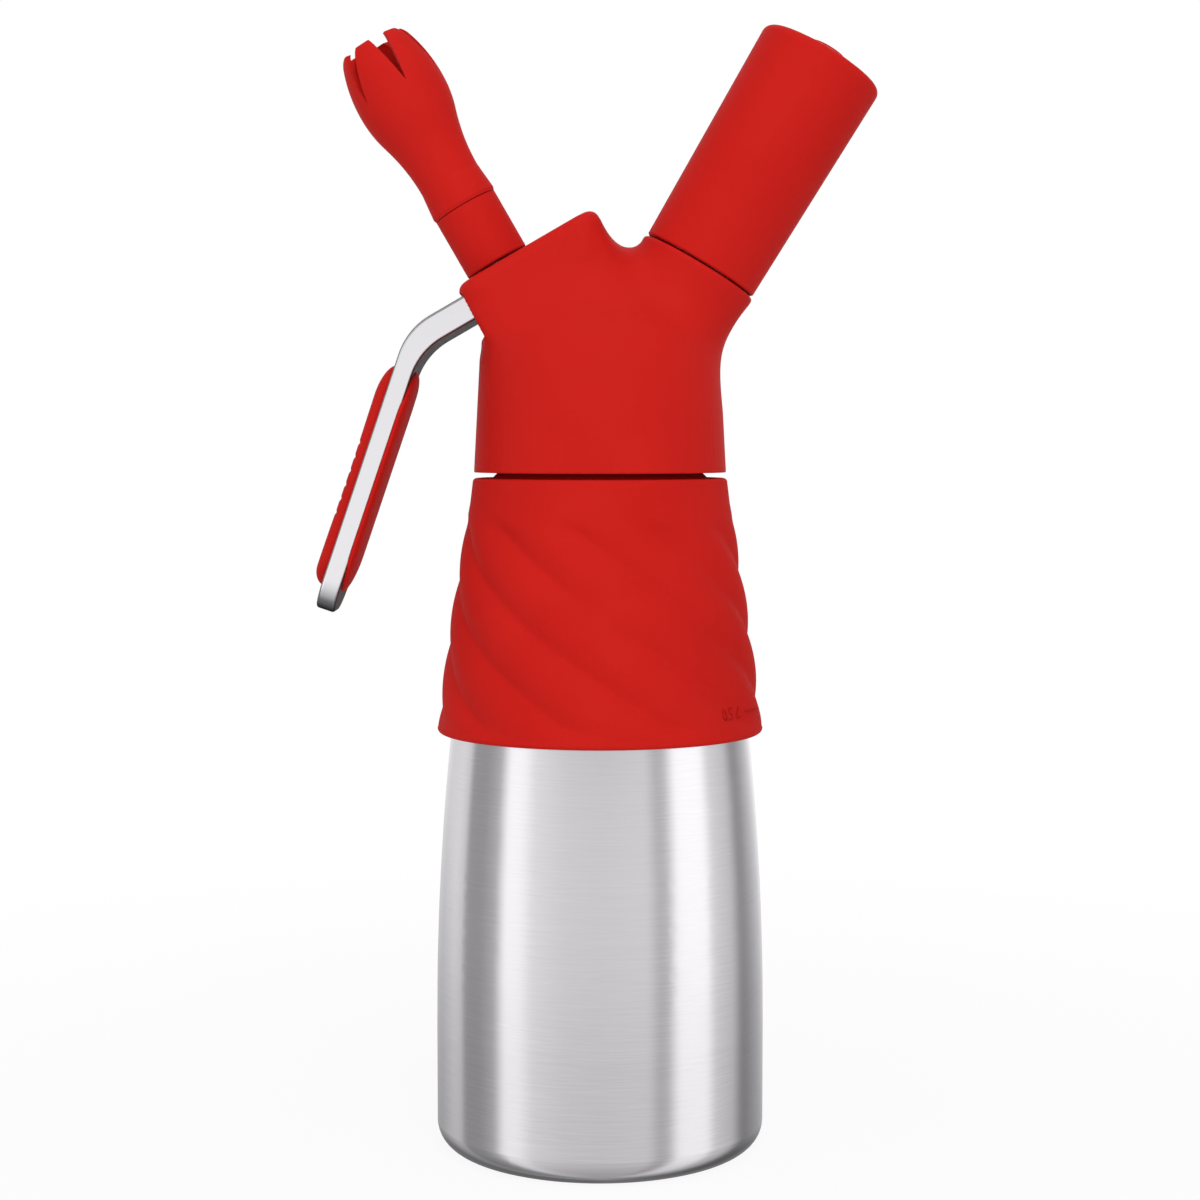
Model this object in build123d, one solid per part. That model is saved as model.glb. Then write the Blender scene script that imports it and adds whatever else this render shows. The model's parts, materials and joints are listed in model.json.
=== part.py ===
from build123d import *
import math
import os

# Whipped cream dispenser: a steel bottle with a silicone sleeve, a screw-on head with a lever valve,
# a decorating nozzle and a holder for a gas charger. Millimetres, Z up. The origin is on the bottle's
# axis in the plane that it stands on. The lever and nozzle are at -X, the charger holder is at +X.

# Bottle
bottle_radius = 40.6
bottle_wall = 1.0
mouth_height = 181.5
neck_radius = 24.4
neck_length = 15.5
shoulder_length = 6.0
straight_height = 30.5
base_corner = 6.5
taper_radius = 700.0
dish_radius = 26.0
dish_edge = 5.0
dish_depth = 2.5
rim_round = 0.4

# Sleeve
sleeve_wall = 3.4
sleeve_bottom = 103.5
sleeve_clearance = 0.1
sleeve_collar_wall = 2.0
sleeve_collar_height = 1.4
sleeve_top_inset = 0.6
sleeve_edge = 1.0

# Head
head_gap = 1.4
skirt_wall = 5.6
skirt_draft = 1.4
skirt_height = 26.0
dome_rise = 19.6
thread_clearance = 1.0
gasket_thickness = 2.0
gasket_width = 3.6
gasket_clearance = 0.2
cavity_radius = 18.0
cavity_height = 7.0
nozzle_tilt = 30.0
charger_tilt = 30.8
lever_arm_blend = 10.0
charger_arm_blend = 3.8

# Lever arm of the head, in the nozzle's frame: X along the arm's face, Y across, Z outwards
nozzle_offset = 24.6
nozzle_face_height = 50.35
arm_lever_end = 11.7
arm_apex_wall = 6.15
arm_width = 31.0
arm_corner = 6.0
arm_edge = 2.4
arm_draft = 2.0

# Charger arm of the head, in the holder's frame: X along the arm's face, Y across, Z outwards
charger_offset = 24.2
charger_face_height = 50.1
charger_arm_step = 0.4
charger_arm_edge = 0.8

# Lever
lever_depth = 2.6
lever_thickness = 6.3
lever_cheek = 4.0
lever_slack = 0.4
lever_travel = 8.5
lever_bend_radius = 17.0
lever_edge = 0.7
lever_reach = 15.05
handle_angle = 18.9
handle_tip = 5.2
handle_thickness = 4.7
handle_end_round = 8.0
pivot_distance = 17.0
pin_radius = 1.5
pin_inset = 1.5
pin_clearance = 0.05
plug_radius = 2.5
knuckle_radius = 3.4
nose_radius = 2.0
fork_side = 0.9
fork_clearance = 0.6
fork_relief = 1.0
fork_relief_end = 7.0
slot_side = 0.4
slot_roof = 2.0

# Grip in the handle's window
grip_start = 10.3
grip_length = 56.0
grip_margin = 3.5
grip_outer = 3.3
grip_inner = 1.6
window_margin = 5.0
window_rim = 3.0
window_flat = 2.0

# Valve
stem_radius = 3.0
stem_bore = 1.7
stem_engagement = 13.0
cap_rim = 0.8
cap_thickness = 1.4
cap_gap = 0.1
clip_thickness = 0.6
clip_width = 0.6
spring_clearance = 1.1
spring_wire = 1.0
spring_turns = 4.0
cap_clearance = 0.3
spring_length = 8.8
bush_length = 5.5
bush_clearance = 0.1
oring_clearance = 0.1
chamber_length = 12.8
oring_wire = 0.9
oring_first = 2.4
oring_pitch = 2.8
oring_groove = 0.5
seat_width = 2.3
seat_clearance = 0.7
seat_length = 2.7
boss_wall = 1.6
seal_lap = 1.5
seal_length = 4.6
seal_slope = 1.5
seal_grip = 0.6
seal_gap = 0.1
stem_foot_width = 0.8
stem_foot = 0.9
fit_gap = 0.05

# Nozzle adapter and decorating nozzle
collar_radius = 8.1
collar_gap = 0.9
collar_length = 15.6
collar_edge = 0.6
collar_hole_gap = 0.65
stub_wall = 2.0
stub_length = 7.0
stub_clearance = 0.2
seam_gap = 0.2
washer_thickness = 1.6
washer_width = 1.4
nozzle_wall = 1.7
nozzle_throat = 3.2
nozzle_lip_round = 0.3
nozzle_lip_step = 0.3
nozzle_waist_inset = 0.35
petal_count = 6
petal_gap_width = 4.4
petal_gap_depth = 13.3
petal_gap_turn = 15.0

# Radius of the nozzle's outside and height above its base: lip, waist, flare, belly, petals and tips
nozzle_lip = (collar_radius + nozzle_lip_step, 0.8)
nozzle_waist = (collar_radius - nozzle_waist_inset, 7.5)
nozzle_flare = (9.95, 21.6)
nozzle_belly = (11.3, 29.0)
nozzle_petal = (9.2, 43.0)
nozzle_tip = (7.9, 45.1)

# Charger, its seal and its holder
stud_wall = 2.1
stud_height = 9.0
shank_radius = 9.0
shank_depth = 16.0
cup_cone = 3.0
neck_clearance = 0.25
charger_radius = 9.0
charger_length = 65.5
charger_wall = 1.2
charger_neck_radius = 4.35
charger_neck_length = 9.0
charger_shoulder = 13.0
charger_insertion = 10.0
charger_clearance = 0.4
charger_cap_length = 1.0
needle_radius = 0.8
needle_bore = 0.4
needle_reach = 2.0
charger_gasket_thickness = 1.4
gas_bore = 1.2
inlet_radius = 2.6
inlet_depth = 35.5
nonreturn_wall = 0.8
nonreturn_length = 2.0
holder_base_gap = 0.5
holder_wall = 1.9
holder_flare = 1.2
holder_end_wall = 2.0
holder_crown = 1.8
holder_edge = 2.2
holder_base_edge = 0.4
holder_thread_clearance = 0.2
insert_wall = 1.3
insert_end_wall = 1.2
end_plug_radius = 4.6
end_plug_height = 0.5
end_plug_seat = 1.4

# Levels on the bottle's axis
sleeve_top = mouth_height - neck_length
shoulder_height = sleeve_top - shoulder_length
skirt_bottom = sleeve_top + head_gap
dome_base = skirt_bottom + skirt_height
neck_bore = neck_radius + thread_clearance
skirt_radius = neck_bore + skirt_wall
arm_reach = skirt_radius
roof_height = mouth_height + gasket_thickness

# Lever, its pivot and the pieces round it
pivot_depth = lever_depth + knuckle_radius
arm_apex_end = pivot_distance + knuckle_radius + arm_apex_wall
pin_length = arm_width - 2 * pin_inset
lever_width = arm_width - 2 * lever_cheek
handle_start = arm_lever_end + lever_reach
handle_length = grip_start + grip_length + handle_tip
grip_width = lever_width - 2 * grip_margin
window_width = grip_width - 2 * window_rim
window_corner = (window_width - window_flat) / 2

# Radii round the valve's stem
fork_gap = 2 * (stem_radius + fork_side)
clip_radius = stem_radius + clip_width
spring_radius = stem_radius + spring_clearance + spring_wire / 2
cap_radius = spring_radius + spring_wire / 2 + cap_rim
spring_bore = cap_radius + cap_clearance
chamber_bore = stem_radius - oring_groove + 2 * oring_wire + oring_clearance
seat_bore = stem_radius + seat_clearance
seat_radius = seat_bore + seat_width
seal_radius = seat_bore + seal_lap
boss_radius = seat_radius + boss_wall
stem_foot_radius = stem_radius + stem_foot_width
stub_radius = stem_radius + stub_wall
washer_radius = stub_radius + washer_width

# Depths below the lever arm's face, and heights above it, on the nozzle's axis
nose_depth = lever_depth + lever_thickness
cap_top = nose_depth + cap_gap
cap_bottom = cap_top + cap_thickness
bush_top = cap_bottom + spring_length
bush_bottom = bush_top + bush_length
chamber_bottom = bush_bottom + chamber_length
seat_bottom = chamber_bottom + seat_length
seal_top = seat_bottom + seal_gap
seal_bottom = seal_top + seal_length
oring_depths = [bush_bottom + oring_first, bush_bottom + oring_first + oring_pitch]
collar_top = collar_gap + collar_length
stub_top = collar_top + stub_length
stem_top = collar_gap + stem_engagement

# Levels and radii on the charger's axis
needle_tip = needle_reach - charger_insertion
charger_top = charger_length - charger_insertion
insert_top = charger_top + charger_clearance + insert_end_wall
stud_radius = charger_radius + charger_clearance + stud_wall
holder_bore = stud_radius + holder_thread_clearance + insert_wall
holder_base_radius = holder_bore + holder_wall
holder_top_radius = holder_base_radius + holder_flare
holder_length = insert_top + holder_end_wall - holder_base_gap
charger_arm_radius = holder_base_radius + charger_arm_step

# Frames: each arm's face, the pivot's pin with Z towards the back, and the handle's outer face
nozzle_frame = Plane(
    origin=(-nozzle_offset, 0, skirt_bottom + nozzle_face_height),
    x_dir=(math.cos(math.radians(nozzle_tilt)), 0, math.sin(math.radians(nozzle_tilt))),
    z_dir=(-math.sin(math.radians(nozzle_tilt)), 0, math.cos(math.radians(nozzle_tilt))),
)
charger_frame = Plane(
    origin=(charger_offset, 0, skirt_bottom + charger_face_height),
    x_dir=(math.cos(math.radians(charger_tilt)), 0, -math.sin(math.radians(charger_tilt))),
    z_dir=(math.sin(math.radians(charger_tilt)), 0, math.cos(math.radians(charger_tilt))),
)
pivot_frame = nozzle_frame.location * Pos(pivot_distance, 0, -pivot_depth) * Rot(-90, 0, 0)
bend_angle = math.radians(90 - nozzle_tilt - handle_angle)
grip_reach = grip_start + grip_length / 2
handle_frame = Plane(
    origin=(
        -handle_start - math.cos(bend_angle) * grip_reach,
        0,
        -lever_depth - math.sin(bend_angle) * grip_reach,
    ),
    x_dir=(-math.cos(bend_angle), 0, -math.sin(bend_angle)),
    z_dir=(-math.sin(bend_angle), 0, math.cos(bend_angle)),
)


def rod(radius, low, high):
    """A cylinder on Z between two levels."""
    return Pos(0, 0, low) * extrude(Circle(radius), high - low)


def tube(outer, inner, low, high):
    """A ring or tube on Z between two levels."""
    return rod(outer, low, high) - rod(inner, low - 1, high + 1)


def turn(*edges):
    """Revolves a closed outline drawn in the XZ plane about Z."""
    return revolve(make_face(Wire(list(edges))), Axis.Z)


def turn_points(points):
    """Revolves a closed outline of straight lines about Z."""
    corners = [(r, 0, z) for r, z in points]
    return revolve(make_face(Polyline(*corners, close=True)), Axis.Z)


def bottle_radius_at(height):
    """Outer radius of the bottle's wall between the straight part and the shoulder."""
    rise = max(height - straight_height, 0)
    return bottle_radius - taper_radius + math.sqrt(taper_radius**2 - rise**2)


def wall_curve(low, high, offset):
    """The bottle's tapering wall between two levels, moved outwards by offset."""
    start, middle, end = [(bottle_radius_at(z) + offset, 0, z) for z in (low, (low + high) / 2, high)]
    return ThreePointArc(start, middle, end)


def bottle_form(inset):
    """A solid of the bottle's outline, made smaller all round by inset."""
    foot = bottle_radius - base_corner
    side = bottle_radius - inset
    floor = dish_depth + inset
    neck = neck_radius - inset
    shoulder = bottle_radius_at(shoulder_height) - inset
    return turn(
        Line((0, 0, floor), (dish_radius, 0, floor)),
        Line((dish_radius, 0, floor), (dish_radius + dish_edge, 0, inset)),
        Line((dish_radius + dish_edge, 0, inset), (foot, 0, inset)),
        TangentArc((foot, 0, inset), (side, 0, base_corner), tangent=(1, 0, 0)),
        Line((side, 0, base_corner), (side, 0, straight_height)),
        wall_curve(straight_height, shoulder_height, -inset),
        Line((shoulder, 0, shoulder_height), (neck, 0, sleeve_top)),
        Line((neck, 0, sleeve_top), (neck, 0, mouth_height)),
        Line((neck, 0, mouth_height), (0, 0, mouth_height)),
        Line((0, 0, mouth_height), (0, 0, floor)),
    )


def make_bottle():
    shell = bottle_form(0) - bottle_form(bottle_wall)
    rim = shell.edges().filter_by(GeomType.CIRCLE).group_by(Axis.Z)[-1]
    return fillet(rim, rim_round)


def make_sleeve():
    """The silicone sleeve, with a narrow collar that closes on the neck."""
    inner = neck_radius + sleeve_clearance
    collar = inner + sleeve_collar_wall
    collar_level = sleeve_top + sleeve_collar_height
    shoulder = bottle_radius_at(shoulder_height) + sleeve_wall
    low = bottle_radius_at(sleeve_bottom) + sleeve_wall
    low_level = sleeve_bottom + sleeve_edge
    high_level = sleeve_top - sleeve_edge
    top = shoulder - sleeve_top_inset
    low_inner = low - sleeve_wall + sleeve_clearance
    return turn(
        Line((low_inner, 0, sleeve_bottom), (low - sleeve_edge, 0, sleeve_bottom)),
        TangentArc((low - sleeve_edge, 0, sleeve_bottom), (low, 0, low_level), tangent=(1, 0, 0)),
        Line((low, 0, low_level), (bottle_radius_at(low_level) + sleeve_wall, 0, low_level)),
        wall_curve(low_level, shoulder_height, sleeve_wall),
        Line((shoulder, 0, shoulder_height), (top, 0, high_level)),
        TangentArc((top, 0, high_level), (top - sleeve_edge, 0, sleeve_top), tangent=(0, 0, 1)),
        Line((top - sleeve_edge, 0, sleeve_top), (collar, 0, sleeve_top)),
        Line((collar, 0, sleeve_top), (collar - sleeve_collar_height, 0, collar_level)),
        Line((collar - sleeve_collar_height, 0, collar_level), (inner, 0, collar_level)),
        Line((inner, 0, collar_level), (inner, 0, sleeve_top)),
        Line((inner, 0, sleeve_top), (shoulder - sleeve_wall + sleeve_clearance, 0, shoulder_height)),
        wall_curve(sleeve_bottom, shoulder_height, sleeve_clearance),
    )


def blended(body, arm, radius):
    """The arm joined to the body, with a round blend along the seam."""
    form = body + arm
    return fillet(new_edges(body, arm, combined=form), radius)


def head_form():
    """The head's outside, with the arms blended into the dome."""
    top_radius = skirt_radius - skirt_draft
    dome_top = dome_base + dome_rise
    haunch = (top_radius * math.sqrt(0.5), 0, dome_base + dome_rise * math.sqrt(0.5))
    side = TangentArc((top_radius, 0, dome_base), haunch, tangent=(0, 0, 1))
    crown = TangentArc(haunch, (0, 0, dome_top), tangent=side % 1)
    body = turn(
        Line((0, 0, skirt_bottom), (skirt_radius, 0, skirt_bottom)),
        Line((skirt_radius, 0, skirt_bottom), (top_radius, 0, dome_base)),
        side,
        crown,
        Line(crown @ 1, (0, 0, skirt_bottom)),
    )
    middle = (arm_apex_end - arm_lever_end) / 2
    length = arm_apex_end + arm_lever_end
    face = Pos(middle, 0, 0) * RectangleRounded(length, arm_width, arm_corner)
    lever_arm = extrude(face, arm_reach, dir=(0, 0, -1), taper=-arm_draft)
    lever_arm = fillet(lever_arm.faces().sort_by(Axis.Z)[-1].edges(), arm_edge)
    lever_arm = nozzle_frame * lever_arm
    charger_arm = rod(charger_arm_radius, -arm_reach, 0)
    charger_arm = fillet(charger_arm.edges().group_by(Axis.Z)[-1], charger_arm_edge)
    charger_arm = charger_frame * charger_arm
    return blended(blended(body, lever_arm, lever_arm_blend), charger_arm, charger_arm_blend)


def lever_slot():
    """Room for the lever from rest to its limit, in the nozzle's frame."""
    end = pivot_distance + knuckle_radius + lever_slack
    floor = pivot_depth + knuckle_radius + lever_slack
    outside = arm_lever_end + lever_arm_blend
    sweep = math.tan(math.radians(lever_travel)) * (pivot_distance + outside)
    low = nose_depth + lever_slack + sweep
    points = [(end, slot_roof), (end, floor), (pivot_distance, floor)]
    points += [(-outside, low), (-outside, slot_roof)]
    corners = [(x, 0, -depth) for x, depth in points]
    side = make_face(Polyline(*corners, close=True))
    return extrude(side, lever_width / 2 + slot_side, dir=(0, 1, 0), both=True)


def make_head():
    """The head with its neck bore, valve bore, lever slot, pin bore and gas channel."""
    head = head_form()
    head -= rod(neck_bore, skirt_bottom - 1, roof_height)
    head -= rod(cavity_radius, roof_height - 1, roof_height + cavity_height)
    head += nozzle_frame * rod(boss_radius, -seat_bottom, -bush_bottom)
    head += charger_frame * rod(inlet_radius, -inlet_depth, -shank_depth)
    valve_bore = rod(collar_radius + collar_hole_gap, -slot_roof - 1, 1)
    valve_bore += rod(spring_bore, -bush_bottom, -slot_roof)
    valve_bore += rod(chamber_bore, -chamber_bottom, -bush_bottom + 1)
    valve_bore += rod(seat_radius + fit_gap, -seat_bottom - 1, -chamber_bottom)
    head -= nozzle_frame * valve_bore
    head -= nozzle_frame * lever_slot()
    pin_end = pin_length / 2 + fit_gap
    pin_bore = rod(pin_radius + pin_clearance, -pin_end, pin_end)
    pin_bore += rod(plug_radius, pin_end, arm_width / 2 + 1)
    head -= pivot_frame * pin_bore
    gas_way = rod(shank_radius + fit_gap, -shank_depth - fit_gap, 1)
    gas_way += rod(gas_bore, -inlet_depth - 1, -shank_depth)
    return head - charger_frame * gas_way


def make_gasket():
    outer = neck_bore - gasket_clearance
    return tube(outer, outer - gasket_width, mouth_height, roof_height)


def handle_point(depth, reach):
    """A point of the handle in the nozzle's frame, by depth from its outer face and distance down."""
    x = -handle_start - math.cos(bend_angle) * reach + math.sin(bend_angle) * depth
    below = lever_depth + math.sin(bend_angle) * reach + math.cos(bend_angle) * depth
    return x, 0, -below


def lever_bar():
    """The bent bar of the lever, from the stem's fork to the handle's end."""
    inner_reach = lever_thickness - math.cos(bend_angle) * handle_thickness
    inner_bend = handle_point(handle_thickness, inner_reach / math.sin(bend_angle))
    outer_bend = handle_point(0, 0)
    outline = Polyline(
        (pivot_distance, 0, -lever_depth),
        outer_bend,
        handle_point(0, handle_length),
        handle_point(handle_thickness, handle_length),
        inner_bend,
        (-fork_relief_end, 0, -nose_depth),
        (-fork_relief_end, 0, -nose_depth + fork_relief),
        (pivot_distance, 0, -nose_depth + fork_relief),
        close=True,
    )
    bar = extrude(make_face(outline), lever_width / 2, dir=(0, 1, 0), both=True)
    across = bar.edges().filter_by(Axis.Y)
    bends = across.filter_by(
        lambda e: min(abs(e.center() - Vector(*b)) for b in (outer_bend, inner_bend)) < 0.01
    )
    bar = fillet(bends, lever_bend_radius)
    tip = Vector(*handle_point(handle_thickness / 2, handle_length))
    corners = bar.edges().filter_by(
        lambda e: abs(abs((e.center() - tip).Y) - lever_width / 2) < 0.01
        and (e.center() - tip).length < lever_width / 2 + 0.01
    )
    bar = fillet(corners, handle_end_round)
    rims = bar.faces().filter_by(Axis.Y).edges()
    return fillet(rims, lever_edge)


def make_lever():
    """The lever with its fork, round noses, pivot knuckles and window for the grip."""
    half = lever_width / 2
    across = Rot(90, 0, 0)
    knuckle = across * rod(knuckle_radius, -half, half)
    nose = across * rod(nose_radius, -half + lever_edge, half - lever_edge)
    lever = lever_bar()
    lever += Pos(pivot_distance, 0, -pivot_depth) * knuckle
    lever += Pos(0, 0, -nose_depth + nose_radius) * nose
    fork_end = fork_gap / 2 + fork_clearance
    reach = pivot_distance + knuckle_radius + fork_end + 1
    gap = Pos(reach / 2 - fork_end, 0, -lever_depth) * Box(reach, fork_gap, 4 * lever_thickness)
    lever -= gap
    hole = across * rod(pin_radius + pin_clearance, -half - 1, half + 1)
    lever -= Pos(pivot_distance, 0, -pivot_depth) * hole
    window = RectangleRounded(grip_length - 2 * window_margin, window_width, window_corner)
    lever -= handle_frame * extrude(window, 2 * handle_thickness, both=True)
    return nozzle_frame * lever


def make_pin_plug():
    low = pin_length / 2 + 2 * fit_gap
    return pivot_frame * rod(plug_radius - fit_gap, low, arm_width / 2)


def make_grip():
    """The silicone pad: a raised outer side, a web through the window and a thinner inner side."""
    pad = RectangleRounded(grip_length, grip_width, grip_width / 2 - 0.1)
    web = RectangleRounded(
        grip_length - 2 * window_margin - 2 * fit_gap,
        window_width - 2 * fit_gap,
        window_corner - fit_gap,
    )
    outer = extrude(pad, grip_outer)
    outer = fillet(outer.edges().group_by(Axis.Z)[-1], 0.8 * grip_outer)
    inner = Pos(0, 0, -handle_thickness - grip_inner) * extrude(pad, grip_inner)
    inner = fillet(inner.edges().group_by(Axis.Z)[0], 0.8 * grip_inner)
    grip = outer + inner + Pos(0, 0, -handle_thickness) * extrude(web, handle_thickness)
    return nozzle_frame * (handle_frame * grip)


def make_stem():
    """The hollow stem, closed below, with a cross hole, ring grooves and a foot under the seal."""
    stem = rod(stem_radius, -seal_bottom, stem_top)
    stem -= rod(stem_bore, -chamber_bottom + stem_bore, stem_top + 1)
    stem += rod(stem_foot_radius, -seal_bottom - stem_foot, -seal_bottom)
    hole_depth = chamber_bottom - 2 * stem_bore
    stem -= Pos(0, 0, -hole_depth) * Rot(90, 0, 0) * rod(stem_bore - 0.3, -stem_radius, stem_radius)
    groove = stem_radius - oring_groove
    for depth in oring_depths:
        stem -= tube(stem_radius + 1, groove, -depth - oring_wire, -depth + oring_wire)
    stem -= tube(stem_radius + 1, groove, -cap_top, -cap_top + clip_thickness)
    stem -= tube(stem_radius + 1, stem_radius - seal_grip, -seal_bottom, -seal_top)
    return nozzle_frame * stem


def make_orings():
    """Two rubber rings in the stem's grooves."""
    middle = stem_radius - oring_groove + oring_wire
    turns = [math.radians(45 * i + 22.5) for i in range(8)]
    rings = []
    for depth in oring_depths:
        section = [(middle + oring_wire * math.cos(a), oring_wire * math.sin(a) - depth) for a in turns]
        rings.append(turn_points(section))
    return nozzle_frame * Compound(rings)


def make_clip():
    inner = stem_radius - oring_groove + fit_gap
    return nozzle_frame * tube(clip_radius, inner, -cap_top, -cap_top + clip_thickness)


def make_cap():
    return nozzle_frame * tube(cap_radius, stem_radius + fit_gap, -cap_bottom, -cap_top)


def make_bush():
    inner = stem_radius + bush_clearance
    return nozzle_frame * tube(spring_bore - fit_gap, inner, -bush_bottom, -bush_top)


def make_spring():
    """Round wire wound between the cap and the bush."""
    height = spring_length - spring_wire - 2 * fit_gap
    low = -bush_top + spring_wire / 2 + fit_gap
    path = Helix(height / spring_turns, height, spring_radius)
    section = Plane(origin=path @ 0, z_dir=path % 0) * RegularPolygon(spring_wire / 2, 6)
    return nozzle_frame * (Pos(0, 0, low) * sweep(section, path=path))


def make_seat():
    return nozzle_frame * tube(seat_radius, seat_bore, -seat_bottom, -chamber_bottom)


def make_seal():
    """The rubber cone under the seat."""
    inner = stem_radius - seal_grip + fit_gap
    profile = [(inner, -seal_top), (seat_bore, -seal_top), (seal_radius, -seal_top - seal_slope)]
    profile += [(seal_radius, -seal_bottom + fit_gap), (inner, -seal_bottom + fit_gap)]
    return nozzle_frame * turn_points(profile)


def make_adapter():
    """The collar on the stem, with a stub for the nozzle."""
    collar = rod(collar_radius, collar_gap, collar_top)
    collar = fillet(collar.edges().group_by(Axis.Z)[0], collar_edge)
    adapter = collar + rod(stub_radius, collar_top - 1, stub_top)
    adapter -= rod(stem_radius + fit_gap, collar_gap - 1, stem_top + fit_gap)
    adapter -= rod(stem_bore, collar_gap, stub_top + 1)
    return nozzle_frame * adapter


def make_washer():
    inner = stub_radius + fit_gap
    low = collar_top + fit_gap
    return nozzle_frame * tube(washer_radius, inner, low, low + washer_thickness)


def nozzle_arcs(points, start, base, inset):
    """Tangent arcs through (radius, height) points, moved inwards by inset."""
    places = [(radius - inset, 0, base + height) for radius, height in points]
    arcs = []
    for low, high in zip(places, places[1:]):
        arcs.append(TangentArc(low, high, tangent=start))
        start = arcs[-1] % 1
    return arcs


def make_nozzle():
    """The tulip nozzle, with V-shaped gaps between its petals."""
    base = collar_top + seam_gap
    outer = [nozzle_waist, nozzle_flare, nozzle_belly, nozzle_petal, nozzle_tip]
    outside = nozzle_arcs(outer, (0, 0, 1), base, 0)
    flare_way = outside[0] % 1
    inside = nozzle_arcs(outer[1:], flare_way, base, nozzle_wall)
    socket = stub_radius + stub_clearance
    recess = washer_radius + stub_clearance
    washer_level = collar_top + washer_thickness + 2 * fit_gap
    throat = stub_top + stub_clearance
    steps = Polyline(
        inside[0] @ 0,
        (nozzle_throat, 0, throat + nozzle_throat),
        (nozzle_throat, 0, throat),
        (socket, 0, throat),
        (socket, 0, washer_level),
        (recess, 0, washer_level),
        (recess, 0, base),
        (nozzle_lip[0] - nozzle_lip_round, 0, base),
        (nozzle_lip[0], 0, base + nozzle_lip[1]),
        outside[0] @ 0,
    )
    rim = Line(outside[-1] @ 1, inside[-1] @ 1)
    nozzle = turn(*outside, rim, *inside, *steps.edges())
    top = base + nozzle_tip[1]
    half = petal_gap_width / 2
    gap = [(0, top - petal_gap_depth), (half, top), (half, top + 1), (-half, top + 1), (-half, top)]
    corners = [(nozzle_throat, y, z) for y, z in gap]
    wedge = extrude(make_face(Polyline(*corners, close=True)), 2 * nozzle_belly[0], dir=(1, 0, 0))
    for i in range(petal_count):
        nozzle -= Rot(0, 0, petal_gap_turn - 90 + i * 360 / petal_count) * wedge
    return nozzle_frame * nozzle


def make_piercing_body():
    """The metal stud that the holder screws on, with a cup for the charger's neck."""
    body = rod(shank_radius, -shank_depth, 0) + rod(stud_radius, 0, stud_height)
    neck_hole = charger_neck_radius + neck_clearance
    floor = -charger_insertion - charger_gasket_thickness
    mouth = charger_radius + charger_clearance
    neck_end = charger_neck_length - charger_insertion
    cup = [(0, floor), (neck_hole, floor), (neck_hole, neck_end), (mouth, cup_cone)]
    cup += [(mouth, stud_height + 1), (0, stud_height + 1)]
    body -= turn_points(cup)
    return charger_frame * (body - rod(needle_radius + fit_gap, -shank_depth - 1, 0))


def make_needle():
    needle = rod(needle_radius, -shank_depth, needle_tip - needle_radius)
    tip = Pos(0, 0, needle_tip - needle_radius / 2)
    needle += tip * Cone(needle_radius, needle_bore + 0.1, needle_radius)
    return charger_frame * (needle - rod(needle_bore, -shank_depth - 1, needle_tip + 1))


def make_charger_gasket():
    outer = charger_neck_radius + neck_clearance - fit_gap
    inner = needle_radius + 2 * fit_gap
    low = -charger_insertion - charger_gasket_thickness + fit_gap
    return charger_frame * tube(outer, inner, low, -charger_insertion - fit_gap)


def make_nonreturn_sleeve():
    inner = inlet_radius + fit_gap
    low = -inlet_depth
    return charger_frame * tube(inner + nonreturn_wall, inner, low, low + nonreturn_length)


def make_charger():
    """The gas charger: a steel bulb with a round end, a shoulder and a narrow neck."""
    low = -charger_insertion
    neck_top = low + charger_neck_length
    body_low = neck_top + charger_shoulder
    top = low + charger_length
    wall = charger_wall
    neck = charger_neck_radius
    radius = charger_radius
    outside = [
        Line((0, 0, low), (neck, 0, low)),
        Line((neck, 0, low), (neck, 0, neck_top)),
        TangentArc((radius, 0, body_low), (neck, 0, neck_top), tangent=(0, 0, -1)),
        Line((radius, 0, body_low), (radius, 0, top - radius)),
        TangentArc((radius, 0, top - radius), (0, 0, top), tangent=(0, 0, 1)),
        Line((0, 0, top), (0, 0, low)),
    ]
    charger = turn(*outside)
    hollow = [
        (0, low - 1),
        (neck - wall, low - 1),
        (neck - wall, neck_top),
        (radius - wall, body_low),
        (radius - wall, top - radius),
        (0, top - radius),
    ]
    return charger_frame * (charger - turn_points(hollow))


def make_charger_cap():
    """The thin cap that closes the charger's neck, pierced by the needle."""
    outer = charger_neck_radius - charger_wall - fit_gap
    low = -charger_insertion
    return charger_frame * tube(outer, needle_radius + 3 * fit_gap, low, low + charger_cap_length)


def make_holder():
    """The holder's red shell, slightly wider at its crowned end."""
    base = holder_base_gap
    top = base + holder_length
    crown = top + holder_crown
    inner_top = insert_top + fit_gap
    foot = holder_base_radius - holder_base_edge
    rim = (holder_top_radius - holder_edge, 0, top)
    side_way = (holder_top_radius - holder_base_radius, 0, holder_length)
    corner = TangentArc((holder_top_radius, 0, top - holder_edge), rim, tangent=side_way)
    outline = [
        Line((holder_bore, 0, base), (foot, 0, base)),
        Line((foot, 0, base), (holder_base_radius, 0, base + holder_base_edge)),
        Line((holder_base_radius, 0, base + holder_base_edge), corner @ 0),
        corner,
        TangentArc((0, 0, crown), rim, tangent=(1, 0, 0)),
        Line((0, 0, crown), (0, 0, inner_top)),
        Line((0, 0, inner_top), (holder_bore, 0, inner_top)),
        Line((holder_bore, 0, inner_top), (holder_bore, 0, base)),
    ]
    socket = rod(end_plug_radius + fit_gap, crown - end_plug_seat, crown + 1)
    return charger_frame * (turn(*outline) - socket)


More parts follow.
